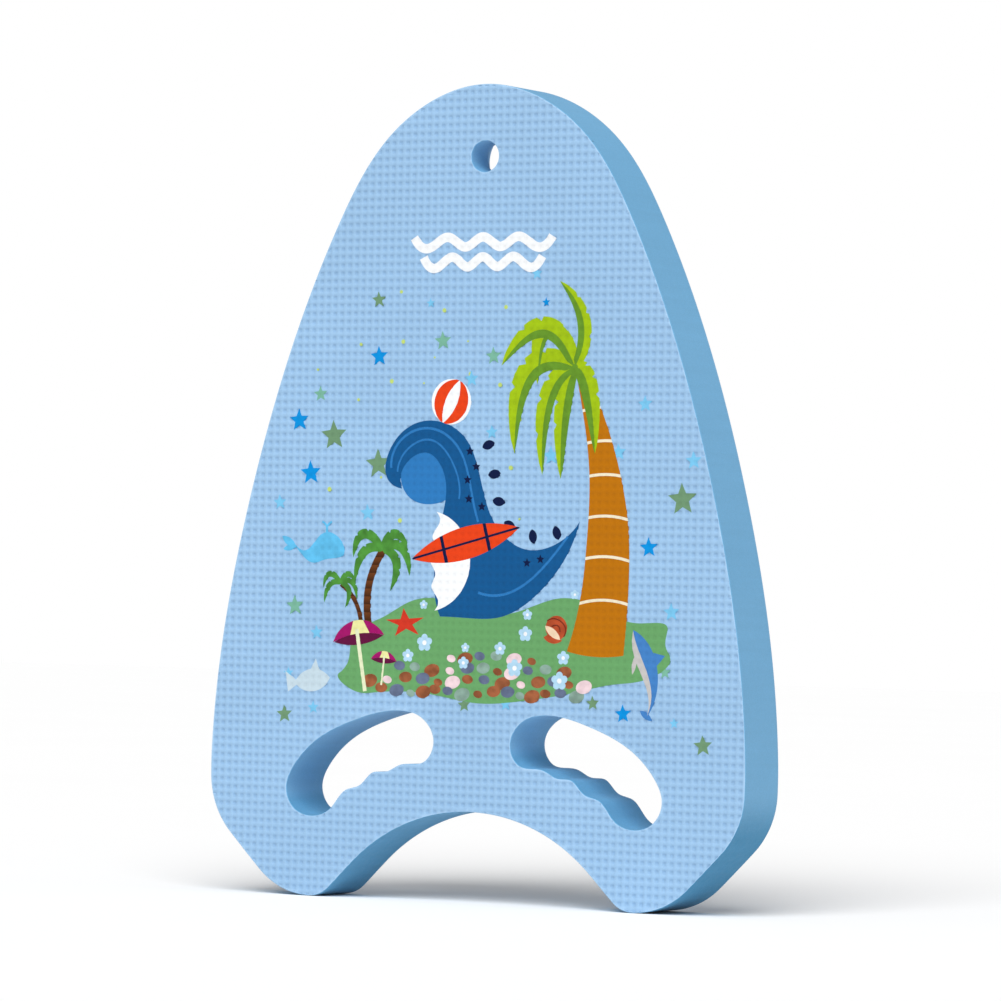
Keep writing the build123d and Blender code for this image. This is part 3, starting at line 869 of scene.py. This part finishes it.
FACE, WALL = foam_face(), foam_wall()
facing("front_facing_embossed", "front_facing", FRONT, FRONT_JOINT, [FACE, WALL])
facing("back_facing_embossed", "back_facing", BACK, BACK_JOINT, [FACE, WALL])
core("foam_core", "core", WALL)
INKS = {}
for node in sorted(frame["nodes"]):
    if node.startswith("print_"):
        slot = NODE_SLOT[node]
        if slot not in INKS:
            INKS[slot] = ink(slot)
        ink_patch(node + "_film", node, INKS[slot])


# ---- floor, light and camera ----

FLOOR_REACH = 8.0
FLOOR_DROP = 0.0002
SKY_LIGHT, SKY_SEEN = 0.36, 1.0
WHITE = (1, 1, 1, 1)

# Where the camera looks, from which way in degrees, and how far off
AIM = Vector((0.01421, FRONT * MM, 0.21138))
AZIMUTH, ELEVATION, ROLL = 30.03, -1.08, 1.33
DISTANCE = 2.9071
LENS, SENSOR = 200.0, 36.0


def towards(azimuth, elevation):
    """Unit vector from the board, azimuth turning from -Y to +X, both in degrees."""
    a, e = math.radians(azimuth), math.radians(elevation)
    return Vector((math.sin(a) * math.cos(e), -math.cos(a) * math.cos(e), math.sin(e)))


def studio_floor():
    mesh = bpy.data.meshes.new("studio_floor")
    signs = ((-1, -1), (1, -1), (1, 1), (-1, 1))
    mesh.from_pydata([(a * FLOOR_REACH, b * FLOOR_REACH, 0) for a, b in signs], [], [(0, 1, 2, 3)])
    floor = bpy.data.objects.new("studio_floor", mesh)
    bpy.context.scene.collection.objects.link(floor)
    floor.location.z = -FLOOR_DROP
    material, tree, shader = new_material("studio_white")
    place = object_place(tree)
    color = blend(tree, noise(tree, place, 3, 2), (0.94, 0.94, 0.94), (0.96, 0.96, 0.96))
    tree.links.new(color, shader.inputs["Base Color"])
    shader.inputs["Roughness"].default_value = 0.9
    mesh.materials.append(material)


def sun(name, azimuth, elevation, power, spread):
    """Broad soft light from far away, so that the floor is evenly bright."""
    light = bpy.data.lights.new(name, "SUN")
    light.energy = power
    light.angle = math.radians(spread)
    lamp = bpy.data.objects.new(name, light)
    bpy.context.scene.collection.objects.link(lamp)
    lamp.rotation_mode = "QUATERNION"
    lamp.rotation_quaternion = (-towards(azimuth, elevation)).to_track_quat("-Z", "Y")


def sky(strength, seen):
    """White surroundings that light the scene at one strength and are seen at another."""
    world = bpy.data.worlds.new("studio")
    bpy.context.scene.world = world
    world.use_nodes = True
    tree = world.node_tree
    lit = tree.nodes["Background"]
    lit.inputs["Color"].default_value = WHITE
    lit.inputs["Strength"].default_value = strength
    plain = tree.nodes.new("ShaderNodeBackground")
    plain.inputs["Color"].default_value = WHITE
    plain.inputs["Strength"].default_value = seen
    path = tree.nodes.new("ShaderNodeLightPath")
    mix = tree.nodes.new("ShaderNodeMixShader")
    tree.links.new(path.outputs["Is Camera Ray"], mix.inputs[0])
    tree.links.new(lit.outputs[0], mix.inputs[1])
    tree.links.new(plain.outputs[0], mix.inputs[2])
    tree.links.new(mix.outputs[0], tree.nodes["World Output"].inputs["Surface"])


def camera():
    data = bpy.data.cameras.new("camera")
    data.lens = LENS
    data.sensor_width = SENSOR
    data.clip_start, data.clip_end = 0.1, 60.0
    eye = bpy.data.objects.new("camera", data)
    bpy.context.scene.collection.objects.link(eye)
    back = towards(AZIMUTH, ELEVATION)
    roll = Matrix.Rotation(math.radians(ROLL), 3, "Z").to_quaternion()
    eye.rotation_mode = "QUATERNION"
    eye.rotation_quaternion = (-back).to_track_quat("-Z", "Y") @ roll
    eye.location = AIM + back * DISTANCE
    bpy.context.scene.camera = eye


studio_floor()
sky(SKY_LIGHT, SKY_SEEN)
sun("key_light", azimuth=18, elevation=47, power=3.15, spread=50)
camera()
bpy.context.scene.view_settings.view_transform = "Standard"
